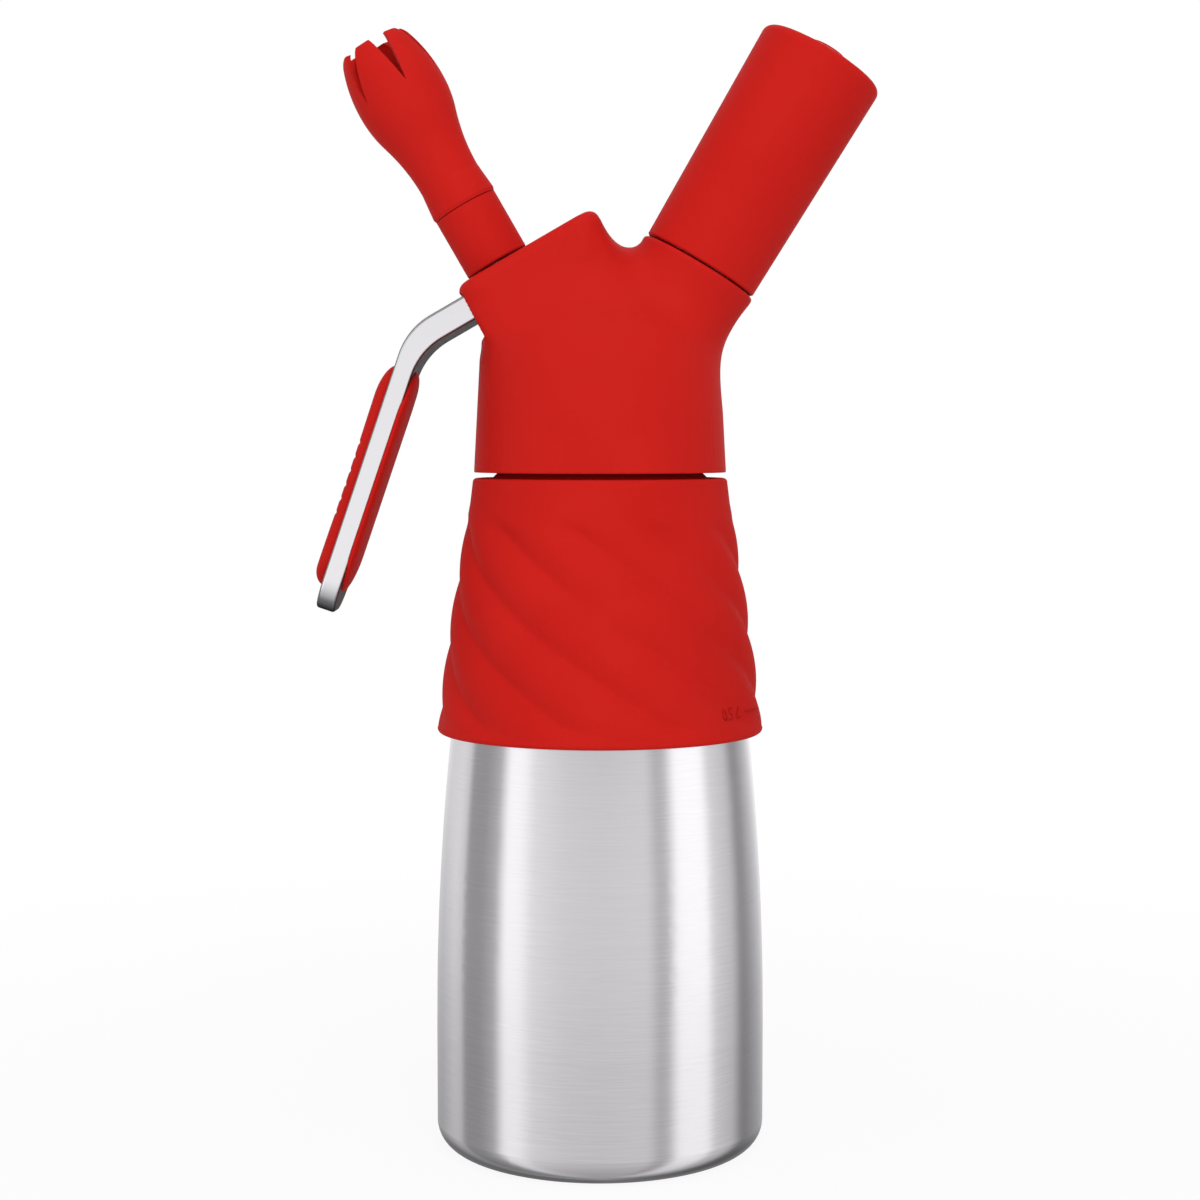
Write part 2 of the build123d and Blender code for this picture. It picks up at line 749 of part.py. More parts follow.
def make_insert():
    """The holder's liner: a wide thread part below and a close tube round the charger."""
    outer = holder_bore - fit_gap
    base = holder_base_gap + fit_gap
    thread = stud_radius + holder_thread_clearance
    liner = rod(outer, base, insert_top)
    liner -= rod(thread, base - 1, stud_height + charger_clearance)
    liner -= rod(charger_radius + charger_clearance, base, charger_top + charger_clearance)
    return charger_frame * liner


def make_end_plug():
    top = holder_base_gap + holder_length + holder_crown
    plug = rod(end_plug_radius, top - end_plug_seat + fit_gap, top + end_plug_height)
    return charger_frame * fillet(plug.edges().group_by(Axis.Z)[-1], end_plug_height * 0.8)


nodes = {
    "bottle": make_bottle(),
    "bottle_sleeve": make_sleeve(),
    "head_gasket": make_gasket(),
    "head_shell": make_head(),
    "valve_seat": make_seat(),
    "guide_bush": make_bush(),
    "valve_spring": make_spring(),
    "lever_pin": pivot_frame * rod(pin_radius, -pin_length / 2, pin_length / 2),
    "pin_plug": make_pin_plug(),
    "piercing_body": make_piercing_body(),
    "piercing_needle": make_needle(),
    "charger_gasket": make_charger_gasket(),
    "nonreturn_sleeve": make_nonreturn_sleeve(),
    "lever": make_lever(),
    "lever_grip": make_grip(),
    "valve_stem": make_stem(),
    "stem_orings": make_orings(),
    "stem_clip": make_clip(),
    "spring_cap": make_cap(),
    "valve_seal": make_seal(),
    "nozzle_adapter": make_adapter(),
    "nozzle_washer": make_washer(),
    "decorator_nozzle": make_nozzle(),
    "charger": make_charger(),
    "charger_cap": make_charger_cap(),
    "charger_holder": make_holder(),
    "holder_insert": make_insert(),
    "holder_end_plug": make_end_plug(),
}

os.makedirs("parts", exist_ok=True)
for name, solid in nodes.items():
    export_step(solid, f"parts/{name}.step")
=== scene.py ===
import json
import math

import bpy
import bmesh
from mathutils import Matrix, Vector
from mathutils.bvhtree import BVHTree


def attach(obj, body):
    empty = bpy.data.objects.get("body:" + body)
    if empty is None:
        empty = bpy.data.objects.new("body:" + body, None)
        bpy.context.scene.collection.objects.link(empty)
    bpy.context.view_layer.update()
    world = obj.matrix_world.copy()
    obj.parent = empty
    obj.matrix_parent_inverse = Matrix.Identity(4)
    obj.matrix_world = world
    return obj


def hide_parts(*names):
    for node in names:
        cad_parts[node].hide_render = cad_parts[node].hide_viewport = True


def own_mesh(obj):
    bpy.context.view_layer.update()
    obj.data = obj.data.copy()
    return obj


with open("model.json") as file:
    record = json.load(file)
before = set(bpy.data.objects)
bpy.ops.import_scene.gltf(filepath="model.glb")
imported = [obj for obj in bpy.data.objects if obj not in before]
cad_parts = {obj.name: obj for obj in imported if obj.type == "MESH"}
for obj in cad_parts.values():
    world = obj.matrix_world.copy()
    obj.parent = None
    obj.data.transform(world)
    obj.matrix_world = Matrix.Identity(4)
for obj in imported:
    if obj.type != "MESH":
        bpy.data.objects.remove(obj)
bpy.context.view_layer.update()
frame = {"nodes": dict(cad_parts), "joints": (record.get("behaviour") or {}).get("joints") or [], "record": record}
nodes = frame["nodes"]
joints = {joint["name"]: joint for joint in frame["joints"]}
leads = {}  # how far each screwed piece travels in one turn
for link in frame["record"]["behaviour"]["couplings"]:
    leads[link["follows"]] = link["ratio"] * 2.0 * math.pi
print("frame loaded:", len(nodes), "nodes")

mm = 0.001


# camera: straight on, a little above the middle and tipped down
camera = {
    "distance": 0.5893,
    "height": 0.1756,
    "tip": 3.8585,  # degrees
    "lens": 71.7,
    "sensor": 36.0,
    "near": 0.01,
    "far": 30.0,
}

camData = bpy.data.cameras.new("frontCamera")
camData.lens = camera["lens"]
camData.sensor_width = camera["sensor"]
camData.clip_start = camera["near"]
camData.clip_end = camera["far"]
camObject = bpy.data.objects.new("frontCamera", camData)
camObject.location = (0.0, -camera["distance"], camera["height"])
camObject.rotation_euler = (math.radians(90.0 - camera["tip"]), 0.0, 0.0)
bpy.context.scene.collection.objects.link(camObject)
bpy.context.scene.camera = camObject
bpy.context.scene.view_settings.view_transform = "Standard"
print("camera set")


# node helpers
def newMaterial(name):
    material = bpy.data.materials.new(name)
    material.use_nodes = True
    tree = material.node_tree
    shader = tree.nodes["Principled BSDF"]
    return material, tree, shader


def addNode(tree, kind, **values):
    node = tree.nodes.new(kind)
    for key, value in values.items():
        setattr(node, key, value)
    return node


def mathNode(tree, operation, first, second=None):
    node = addNode(tree, "ShaderNodeMath", operation=operation)
    for socket, value in zip(node.inputs, (first, second)):
        if isinstance(value, (int, float)):
            socket.default_value = value
        elif value is not None:
            tree.links.new(value, socket)
    return node.outputs["Value"]


def noiseAt(tree, scale, detail=3.0, stretch=(1.0, 1.0, 1.0), roughness=0.5):
    place = addNode(tree, "ShaderNodeTexCoord")
    mapping = addNode(tree, "ShaderNodeMapping")
    mapping.inputs["Scale"].default_value = stretch
    noise = addNode(tree, "ShaderNodeTexNoise")
    noise.inputs["Scale"].default_value = scale
    noise.inputs["Detail"].default_value = detail
    noise.inputs["Roughness"].default_value = roughness
    tree.links.new(place.outputs["Object"], mapping.inputs["Vector"])
    tree.links.new(mapping.outputs["Vector"], noise.inputs["Vector"])
    return noise.outputs["Fac"]


def spread(tree, value, low, high, fromLow=0.3, fromHigh=0.7):
    node = addNode(tree, "ShaderNodeMapRange")
    node.inputs["From Min"].default_value = fromLow
    node.inputs["From Max"].default_value = fromHigh
    node.inputs["To Min"].default_value = low
    node.inputs["To Max"].default_value = high
    tree.links.new(value, node.inputs["Value"])
    return node.outputs["Result"]


def twoTone(tree, share, first, second):
    mix = addNode(tree, "ShaderNodeMix", data_type="RGBA")
    tree.links.new(share, mix.inputs["Factor"])
    for place, colour in zip((6, 7), (first, second)):
        if isinstance(colour, tuple):
            mix.inputs[place].default_value = (*colour, 1.0)
        else:
            tree.links.new(colour, mix.inputs[place])
    return mix.outputs[2]


def bumpFrom(tree, value, distance):
    bump = addNode(tree, "ShaderNodeBump")
    bump.inputs["Distance"].default_value = distance
    tree.links.new(value, bump.inputs["Height"])
    return bump.outputs["Normal"]


# red silicone and soft-touch plastic: matte, with a fine moulded grain
def redSurface(name, look):
    material, tree, shader = newMaterial(name)
    clouds = spread(tree, noiseAt(tree, look["cloudScale"], look["cloudDetail"]), 0.0, 1.0)
    tree.links.new(twoTone(tree, clouds, look["deep"], look["bright"]), shader.inputs["Base Color"])
    grain = noiseAt(tree, look["grainScale"], look["grainDetail"], roughness=look["grainHardness"])
    tree.links.new(spread(tree, grain, *look["roughness"]), shader.inputs["Roughness"])
    tree.links.new(bumpFrom(tree, grain, look["grainDepth"]), shader.inputs["Normal"])
    shader.inputs["Specular IOR Level"].default_value = look["gloss"]
    return material


silicone = {
    "deep": (0.560, 0.0125, 0.0090),
    "bright": (0.600, 0.0150, 0.0110),
    "cloudScale": 38.0,
    "cloudDetail": 2.0,
    "grainScale": 1900.0,
    "grainDetail": 4.0,
    "grainHardness": 0.65,
    "grainDepth": 0.02 * mm,
    "roughness": (0.62, 0.74),
    "gloss": 0.05,
}
softTouch = dict(silicone, cloudScale=30.0, grainScale=2600.0, grainDepth=0.012 * mm, roughness=(0.52, 0.62))
# a darker copy of the silicone red for the gasket and the ring in the gaps, painted shade
sealShadeLook = dict(silicone, deep=(0.30, 0.006, 0.005), bright=(0.36, 0.008, 0.006))
# a slightly darker copy of the silicone red for the fill mark, painted shade at the letters' edges
letterShadeLook = dict(silicone, deep=(0.45, 0.009, 0.007), bright=(0.49, 0.011, 0.009))
blackRubberLook = dict(silicone, deep=(0.016, 0.016, 0.017), bright=(0.024, 0.024, 0.025), gloss=0.3)

siliconeRed = redSurface("siliconeRed", silicone)
softTouchRed = redSurface("softTouchRed", softTouch)
sealShadeRed = redSurface("sealShadeRed", sealShadeLook)
letterShadeRed = redSurface("letterShadeRed", letterShadeLook)
rubberBlack = redSurface("rubberBlack", blackRubberLook)


# steel: fine brushed lines and a few longer scratches, and on the lever a darker colour on faces that don't look
# sideways, painted shade
def brushedSteel(name, look):
    material, tree, shader = newMaterial(name)
    shader.inputs["Metallic"].default_value = 1.0
    fine = spread(tree, noiseAt(tree, 1.0, 2.0, look["lineStretch"], look["lineHardness"]), 0.0, 1.0)
    colour = twoTone(tree, fine, look["dark"], look["light"])
    long = noiseAt(tree, 1.0, 1.0, look["scratchStretch"])
    long = spread(tree, long, 0.0, 1.0, *look["scratchShare"])
    colour = twoTone(tree, long, colour, look["scratch"])
    # painted shade: faces that turn away from sideways take a darker colour
    if "edgeFaceShade" in look:
        place = addNode(tree, "ShaderNodeTexCoord")
        split = addNode(tree, "ShaderNodeSeparateXYZ")
        tree.links.new(place.outputs["Normal"], split.inputs[0])
        facingSide = spread(tree, mathNode(tree, "ABSOLUTE", split.outputs["Y"]), 0.0, 1.0, *look["sideFacing"])
        colour = twoTone(tree, facingSide, look["edgeFaceShade"], colour)
    tree.links.new(colour, shader.inputs["Base Color"])
    tree.links.new(spread(tree, fine, *look["roughness"], 0.0, 1.0), shader.inputs["Roughness"])
    tree.links.new(bumpFrom(tree, fine, look["lineDepth"]), shader.inputs["Normal"])
    if "edgeTint" in look:
        shader.inputs["Specular Tint"].default_value = (look["edgeTint"],) * 3 + (1.0,)
    if look["anisotropy"] > 0.0:
        shader.inputs["Anisotropic"].default_value = look["anisotropy"]
        shader.inputs["Anisotropic Rotation"].default_value = look["brushTurn"]
        around = addNode(tree, "ShaderNodeTangent", direction_type="RADIAL", axis="Z")
        tree.links.new(around.outputs["Tangent"], shader.inputs["Tangent"])
    return material


bottleSteel = {
    "dark": (0.588, 0.582, 0.592),
    "light": (0.630, 0.624, 0.634),
    "scratch": (0.665, 0.659, 0.669),
    "scratchShare": (0.70, 0.82),
    "lineStretch": (90.0, 90.0, 4200.0),
    "lineHardness": 0.6,
    "scratchStretch": (110.0, 110.0, 5200.0),
    "lineDepth": 0.0012 * mm,
    "roughness": (0.17, 0.21),
    "anisotropy": 0.6,
    "brushTurn": 0.25,
}
leverSteel = dict(
    bottleSteel,
    dark=(0.880, 0.880, 0.890),
    light=(0.900, 0.900, 0.910),
    scratch=(0.905, 0.905, 0.915),
    # darker colour for the lever's faces that don't look sideways, painted shade
    edgeFaceShade=(0.36, 0.362, 0.370),
    sideFacing=(0.80, 0.97),  # how squarely a face must look sideways to keep the bright colour without the painted shade
    edgeTint=0.04,
    lineStretch=(1400.0, 60.0, 1400.0),
    scratchStretch=(700.0, 40.0, 700.0),
    lineDepth=0.0004 * mm,
    roughness=(0.28, 0.32),
    anisotropy=0.0,
)
innerSteel = dict(
    bottleSteel,
    dark=(0.55, 0.55, 0.57),
    light=(0.62, 0.62, 0.64),
    roughness=(0.22, 0.30),
    anisotropy=0.0,
)

steelBottle = brushedSteel("steelBottle", bottleSteel)
steelLever = brushedSteel("steelLever", leverSteel)
steelInner = brushedSteel("steelInner", innerSteel)
print("materials made")

finishes = {
    steelBottle: ["bottle"],
    softTouchRed: ["head_shell", "pin_plug", "nozzle_adapter", "decorator_nozzle", "charger_holder",
                   "holder_end_plug"],
    siliconeRed: ["bottle_sleeve", "lever_grip"],
    # the gasket takes the darker red, painted shade
    sealShadeRed: ["head_gasket"],
    steelLever: ["lever"],
    steelInner: ["valve_seat", "guide_bush", "valve_spring", "lever_pin", "piercing_body",
                 "piercing_needle", "valve_stem", "stem_clip", "spring_cap", "charger", "charger_cap",
                 "holder_insert"],
    rubberBlack: ["charger_gasket", "nonreturn_sleeve", "stem_orings", "valve_seal", "nozzle_washer"],
}
for material, names in finishes.items():
    for name in names:
        nodes[name].data.materials.clear()
        nodes[name].data.materials.append(material)


# mesh helpers
def meshObject(name, points, faces, material, sharpAngle=40.0):
    mesh = bpy.data.meshes.new(name)
    mesh.from_pydata([tuple(p) for p in points], [], faces)
    form = bmesh.new()
    form.from_mesh(mesh)
    bmesh.ops.recalc_face_normals(form, faces=form.faces)
    for face in form.faces:
        face.smooth = True
    for edge in form.edges:
        if len(edge.link_faces) == 2 and edge.calc_face_angle() > math.radians(sharpAngle):
            edge.smooth = False
    form.to_mesh(mesh)
    form.free()
    mesh.materials.append(material)
    piece = bpy.data.objects.new(name, mesh)
    bpy.context.scene.collection.objects.link(piece)
    return piece


def fitPiece(piece, body):
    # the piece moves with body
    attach(piece, body)


def arcPoints(centre, radius, start, end, steps):
    turns = [math.radians(start + (end - start) * i / steps) for i in range(steps + 1)]
    return [(centre[0] + radius * math.cos(a), centre[1] + radius * math.sin(a)) for a in turns]


def smoothStep(low, high, value):
    share = min(max((value - low) / (high - low), 0.0), 1.0)
    return share * share * (3.0 - 2.0 * share)


def bridge(rows, count, closed=False):
    # faces between rings of points, each ring with count points
    faces = []
    for row in range(rows if closed else rows - 1):
        below = row * count
        above = ((row + 1) % rows) * count
        for i in range(count):
            after = (i + 1) % count
            faces.append((below + i, below + after, above + after, above + i))
    return faces


# head: one moulding whose outside runs smoothly from the skirt into both arms
headForm = {
    "voxel": 0.52 * mm,
    "passes": 360,
    "factor": 0.5,
    "levels": 12,
    # each pair: where points begin to move, and where they move freely
    "foot": (181.0 * mm, 192.0 * mm),
    "leverArm": (2.6 * mm, 8.0 * mm),
    "chargerArm": (1.2 * mm, 6.5 * mm),
    "slotSide": (13.6 * mm, 15.2 * mm),
    "slotReach": (-6.0 * mm, 2.0 * mm),
    "pinClear": (3.6 * mm, 7.5 * mm),
    "seedHeight": 208.0 * mm,
    "seedBand": 2.0 * mm,
}


def headFreedom(place):
    # how far the smoothing may move a point of the outside, from 0 to 1
    leverArm = Vector(joints["nozzle_turn"]["axis"])
    fromLever = place - Vector(joints["nozzle_turn"]["pos_m"])
    chargerArm = Vector(joints["holder_turn"]["axis"])
    fromCharger = place - Vector(joints["holder_turn"]["pos_m"])
    free = smoothStep(*headForm["foot"], place.z)
    free *= smoothStep(*headForm["leverArm"], -leverArm.dot(fromLever))
    free *= smoothStep(*headForm["chargerArm"], -chargerArm.dot(fromCharger))
    across = Vector((leverArm.z, 0.0, -leverArm.x)).dot(fromLever)
    beside = smoothStep(*headForm["slotSide"], abs(place.y))
    free *= max(beside, smoothStep(*headForm["slotReach"], across))
    pin = Vector(joints["lever_squeeze"]["pos_m"])
    return free * smoothStep(*headForm["pinClear"], math.hypot(place.x - pin.x, place.z - pin.z))


def evenMesh(piece, voxel):
    # the piece's mesh made again from small squares, with each point back on the exact surface
    exact = bmesh.new()
    exact.from_mesh(piece.data)
    surface = BVHTree.FromBMesh(exact)
    exact.free()
    squares = piece.modifiers.new("squares", "REMESH")
    squares.mode = "VOXEL"
    squares.voxel_size = voxel
    bpy.context.view_layer.update()
    evaluated = piece.evaluated_get(bpy.context.evaluated_depsgraph_get())
    mesh = bpy.data.meshes.new_from_object(evaluated)
    piece.modifiers.clear()
    form = bmesh.new()
    form.from_mesh(mesh)
    for vert in form.verts:
        vert.co = surface.find_nearest(vert.co)[0]
    return mesh, form


def outerSkin(form, freedom):
    # the movable points that hang together with the middle of the head's front
    height = headForm["seedHeight"]
    band = [vert for vert in form.verts if abs(vert.co.z - height) < headForm["seedBand"]]
    seed = min(band, key=lambda vert: vert.co.y)
    skin = {seed}
    waiting = [seed]
    while waiting:
        vert = waiting.pop()
        for edge in vert.link_edges:
            other = edge.other_vert(vert)
            if other not in skin and freedom[other.index] > 0.0:
                skin.add(other)
                waiting.append(other)
    return [vert for vert in form.verts if vert in skin]


def buildHead():
    piece = bpy.data.objects.new("headSmooth", nodes["head_shell"].data.copy())
    bpy.context.scene.collection.objects.link(piece)
    mesh, form = evenMesh(piece, headForm["voxel"])
    piece.data = mesh
    freedom = [headFreedom(vert.co) for vert in form.verts]
    skin = outerSkin(form, freedom)
    levels = headForm["levels"]  # freer points take part in more of the passes
    groups = [[vert for vert in skin if freedom[vert.index] > (k + 0.5) / levels] for k in range(levels)]
    everyWay = {"use_axis_x": True, "use_axis_y": True, "use_axis_z": True}
    for turn in range(headForm["passes"]):
        bmesh.ops.smooth_vert(form, verts=groups[turn % levels], factor=headForm["factor"], **everyWay)
    for face in form.faces:
        face.smooth = True
    form.to_mesh(mesh)
    form.free()
    mesh.materials.clear()
    mesh.materials.append(softTouchRed)
    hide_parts("head_shell")
    fitPiece(piece, "head")


buildHead()
print("head made")


# valve spring: the coil as its own mesh, moving with the head
def buildSpring():
    piece = bpy.data.objects.new("springCoil", nodes["valve_spring"].data.copy())
    bpy.context.scene.collection.objects.link(piece)
    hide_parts("valve_spring")
    fitPiece(piece, "head")
    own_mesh(piece)


buildSpring()
print("spring made")

# sleeve: slanting lobes that fade out at the top and the foot
sleeve = {
    "bottleRadius": 40.6 * mm,
    "taperRadius": 700.0 * mm,
    "straightHeight": 30.5 * mm,
    "neckRadius": 24.5 * mm,
    "wall": 3.4 * mm,
    "gap": 0.1 * mm,
    "bottom": 103.5 * mm,
    "shoulder": 160.0 * mm,
    "top": 166.0 * mm,
    "topInset": 0.6 * mm,
    "edge": 1.0 * mm,
    "collarWidth": 2.0 * mm,
    "collarHeight": 1.4 * mm,
    "lobes": 10,
    "pitch": 15.6 * mm,
    "valleyAtFront": 134.3 * mm,
    "depth": 1.5 * mm,
    "level": 0.78,
    "softness": 0.16,
    "fadeLow": (104.8 * mm, 109.0 * mm),
    "fadeHigh": (157.5 * mm, 152.5 * mm),
    "padHeight": 135.0 * mm,  # calmer patch in the middle of the front
    "padSize": 7.0 * mm,
    "padCalm": 0.75,
    "skinDepth": 1.5 * mm,  # only points this near the outside follow the lobes
    "segments": 400,
    "rowStep": 0.45 * mm,
    "edgeSteps": 6,
    "innerSteps": 12,
}


def wallRadius(height):
    rise = max(height - sleeve["straightHeight"], 0.0)
    taper = sleeve["taperRadius"]
    return sleeve["bottleRadius"] - taper + math.sqrt(taper * taper - rise * rise)


def lobeHeight(angle, height):
    # angle 0 faces the camera and grows towards the charger side
    drop = sleeve["lobes"] * sleeve["pitch"] / (2.0 * math.pi)
    phase = (height - sleeve["valleyAtFront"] + drop * angle) / sleeve["pitch"]
    offset = 2.0 * (phase - math.floor(phase)) - 1.0
    soft = sleeve["softness"]
    arch = 1.0 - offset * offset
    rounded = math.sqrt(arch * arch + soft * soft) - soft
    fade = smoothStep(*sleeve["fadeLow"], height) * smoothStep(*sleeve["fadeHigh"], height)
    across = angle * wallRadius(height)
    away = math.hypot(across, height - sleeve["padHeight"]) / sleeve["padSize"]
    pad = 1.0 - sleeve["padCalm"] * math.exp(-away * away)
    return sleeve["depth"] * (rounded - sleeve["level"]) * fade * pad


def sleeveReach(angle, height):
    return wallRadius(height) + sleeve["wall"] + lobeHeight(angle, height)


def aroundAxis(reach, angle, height):
    return (reach * math.sin(angle), -reach * math.cos(angle), height)


def sleeveProfile():
    wall = sleeve["wall"]
    edge = sleeve["edge"]
    low = sleeve["bottom"]
    shoulder = sleeve["shoulder"]
    top = sleeve["top"]
    neck = sleeve["neckRadius"]
    lowRadius = wallRadius(low) + wall
    shoulderRadius = wallRadius(shoulder) + wall
    topRadius = shoulderRadius - sleeve["topInset"]
    rows = arcPoints((lowRadius - edge, low + edge), edge, -90.0, 0.0, sleeve["edgeSteps"])
    steps = int((shoulder - low - edge) / sleeve["rowStep"])
    for i in range(1, steps + 1):
        height = low + edge + (shoulder - low - edge) * i / steps
        rows.append((wallRadius(height) + wall, height))
    rows += arcPoints((topRadius - edge, top - edge), edge, 0.0, 90.0, sleeve["edgeSteps"])
    collar = neck + sleeve["collarWidth"]
    rows += [(collar, top), (collar - sleeve["collarHeight"], top + sleeve["collarHeight"])]
    rows += [(neck, top + sleeve["collarHeight"]), (neck, top)]
    rows.append((wallRadius(shoulder) + sleeve["gap"], shoulder))
    steps = sleeve["innerSteps"]
    for i in range(1, steps + 1):
        height = shoulder - (shoulder - low) * i / steps
        rows.append((wallRadius(height) + sleeve["gap"], height))
    return rows


def buildSleeve():
    rows = sleeveProfile()
    count = sleeve["segments"]
    limit = sleeve["wall"] - sleeve["skinDepth"]
    points = []
    for radius, height in rows:
        outside = radius > wallRadius(height) + limit and height < sleeve["shoulder"]
        for i in range(count):
            angle = 2.0 * math.pi * i / count - math.pi
            swell = lobeHeight(angle, height) if outside else 0.0
            points.append(aroundAxis(radius + swell, angle, height))
    piece = meshObject("sleeveLobed", points, bridge(len(rows), count, closed=True), siliconeRed)
    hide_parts("bottle_sleeve")
    fitPiece(piece, "bottle")


buildSleeve()
print("sleeve made")

# fill mark on the sleeve's right side: a number and a tick, moulded slightly proud, in a slightly darker red as
# painted shade
fillMark = {
    "text": "0.5 L",
    "textStart": 48.0,
    "textEnd": 60.5,
    "textFoot": 108.75 * mm,
    "textHeight": 2.9 * mm,
    "draftDepth": 0.5,  # the flat draft of the letters, where a letter's size is 1
    "draftSteps": 4,
    "letterStep": 0.12,
    "letterCuts": 4,
    "weld": 0.001 * mm,
    "tickStart": 63.0,
    "tickEnd": 76.0,
    "tickHeight": 110.1 * mm,
    "tickWidth": 0.45 * mm,
    "proud": 0.14 * mm,
    "sunk": 0.25 * mm,
    "tickSteps": 26,
}


def wrapOnSleeve(startAngle, along, height, out):
    angle = math.radians(startAngle) + along / sleeveReach(math.radians(startAngle), height)
    return aroundAxis(sleeveReach(angle, height) + out, angle, height)


def buildFillNumber():
    words = bpy.data.curves.new("fillNumber", "FONT")
    words.body = fillMark["text"]
    words.extrude = fillMark["draftDepth"]
    words.resolution_u = fillMark["draftSteps"]
    draft = bpy.data.objects.new("fillNumberDraft", words)
    bpy.context.scene.collection.objects.link(draft)
    bpy.context.view_layer.update()
    flat = bpy.data.meshes.new_from_object(draft)
    bpy.data.objects.remove(draft)
    fine = bmesh.new()
    fine.from_mesh(flat)
    for _ in range(fillMark["letterCuts"]):
        long = [edge for edge in fine.edges if edge.calc_length() > fillMark["letterStep"]]
        bmesh.ops.subdivide_edges(fine, edges=long, cuts=1)
        bmesh.ops.triangulate(fine, faces=fine.faces)
    fine.to_mesh(flat)
    fine.free()
    xs = [v.co.x for v in flat.vertices]
    ys = [v.co.y for v in flat.vertices]
    radius = sleeveReach(math.radians(fillMark["textStart"]), fillMark["textFoot"])
    length = math.radians(fillMark["textEnd"] - fillMark["textStart"]) * radius
    points = []
    for v in flat.vertices:
        along = (v.co.x - min(xs)) / (max(xs) - min(xs)) * length
        up = (v.co.y - min(ys)) / (max(ys) - min(ys))
        height = fillMark["textFoot"] + up * fillMark["textHeight"]
        raised = v.co.z / fillMark["draftDepth"] / 2.0 + 0.5
        out = raised * (fillMark["proud"] + fillMark["sunk"]) - fillMark["sunk"]
        points.append(wrapOnSleeve(fillMark["textStart"], along, height, out))
    faces = [tuple(face.vertices) for face in flat.polygons]
    piece = meshObject("fillNumber", points, faces, letterShadeRed)
    form = bmesh.new()
    form.from_mesh(piece.data)
    bmesh.ops.remove_doubles(form, verts=form.verts, dist=fillMark["weld"])
    form.to_mesh(piece.data)
    form.free()
    fitPiece(piece, "bottle")


def buildFillTick():
    low = fillMark["tickHeight"] - fillMark["tickWidth"] / 2.0
    high = fillMark["tickHeight"] + fillMark["tickWidth"] / 2.0
    steps = fillMark["tickSteps"]
    points = []
    for i in range(steps + 1):
        start = fillMark["tickStart"] + (fillMark["tickEnd"] - fillMark["tickStart"]) * i / steps
        for height, out in ((low, -1), (high, -1), (high, 1), (low, 1)):
            lift = fillMark["proud"] if out > 0 else -fillMark["sunk"]
            points.append(wrapOnSleeve(start, 0.0, height, lift))
    last = 4 * steps
    faces = bridge(steps + 1, 4) + [(0, 1, 2, 3), (last, last + 1, last + 2, last + 3)]
    piece = meshObject("fillTick", points, faces, letterShadeRed)
    fitPiece(piece, "bottle")


buildFillNumber()
buildFillTick()
print("fill mark made")

# grip: one silicone moulding through the lever's window, ribbed across on its outer side
grip = {
    "middle": Vector((-58.678, 0.0, 166.455)) * mm,
    "lean": 18.9,
    "barThickness": 4.7 * mm,
    "length": 57.2 * mm,
    "outer": {"height": 3.3 * mm, "width": 16.0 * mm, "ends": (8.5 * mm, 4.5 * mm), "grooves": 6},
    "padSeat": 0.25 * mm,
    "inner": {"height": 1.95 * mm, "width": 24.0 * mm, "ends": (6.0 * mm, 9.0 * mm), "grooves": 0},
    "groovePitch": 3.6 * mm,
    "grooveShift": 1.3 * mm,
    "grooveWidth": 0.45 * mm,
    "grooveShare": 0.08,
    "waistShare": 0.07,
    "waistLength": 15.0 * mm,
    "crown": 0.6,
    "webSize": (45.9 * mm, 9.9 * mm, 3.95 * mm),
    "webLap": 0.15 * mm,
    "webCornerSteps": 8,
    "rows": 420,
    "arcSteps": 26,
}


def padHeight(side, along):
    half = grip["length"] / 2.0
    first, last = side["ends"]
    height = side["height"]
    for length, left in ((first, along + half), (last, half - along)):
        share = min(max(left / length, 0.0), 1.0)
        height *= math.sqrt(1.0 - (1.0 - share) ** 2)
    if side["grooves"] == 0:
        return height
    cut = grip["waistShare"] * math.exp(-((along / grip["waistLength"]) ** 2))
    for k in range(side["grooves"]):
        place = (k - (side["grooves"] - 1) / 2.0) * grip["groovePitch"] + grip["grooveShift"]
        cut += grip["grooveShare"] * math.exp(-(((along - place) / grip["grooveWidth"]) ** 2))
    return height * (1.0 - cut)


def padWidth(side, along):
    half = side["width"] / 2.0
    past = max(abs(along) - (grip["length"] / 2.0 - half), 0.0)
    return math.sqrt(max(half * half - past * past, 0.0))


def padShell(side, level, way):
    # one closed crowned pad on the bar's face at level, growing outwards along way
    rows = grip["rows"]
    steps = grip["arcSteps"]
    half = grip["length"] / 2.0
    points = [(-half, 0.0, level)]
    for i in range(1, rows):
        along = -half * math.cos(math.pi * i / rows)
        width = padWidth(side, along)
        height = padHeight(side, along)
        for j in range(steps + 1):
            turn = math.pi * j / steps
            rise = height * max(math.sin(turn), 0.0) ** grip["crown"]
            points.append((along, width * math.cos(turn), level + way * rise))
    points.append((half, 0.0, level))
    count = steps + 1
    faces = [tuple(index + 1 for index in face) for face in bridge(rows - 1, count)]
    last = len(points) - 1
    lastRow = last - count
    for j in range(count):
        after = (j + 1) % count
        faces.append((0, 1 + after, 1 + j))
        faces.append((last, lastRow + j, lastRow + after))
    return points, faces


def webShell():
    length, width, corner = grip["webSize"]
    x = length / 2.0 - corner
    y = width / 2.0 - corner
    outline = []
    for k, (sx, sy) in enumerate(((1, 1), (-1, 1), (-1, -1), (1, -1))):
        outline += arcPoints((sx * x, sy * y), corner, 90.0 * k, 90.0 * (k + 1), grip["webCornerSteps"])
    count = len(outline)
    levels = (grip["webLap"], -grip["barThickness"] - grip["webLap"])
    points = [(px, py, level) for level in levels for px, py in outline]
    faces = bridge(2, count) + [tuple(range(count)), tuple(range(count, 2 * count))]
    return points, faces


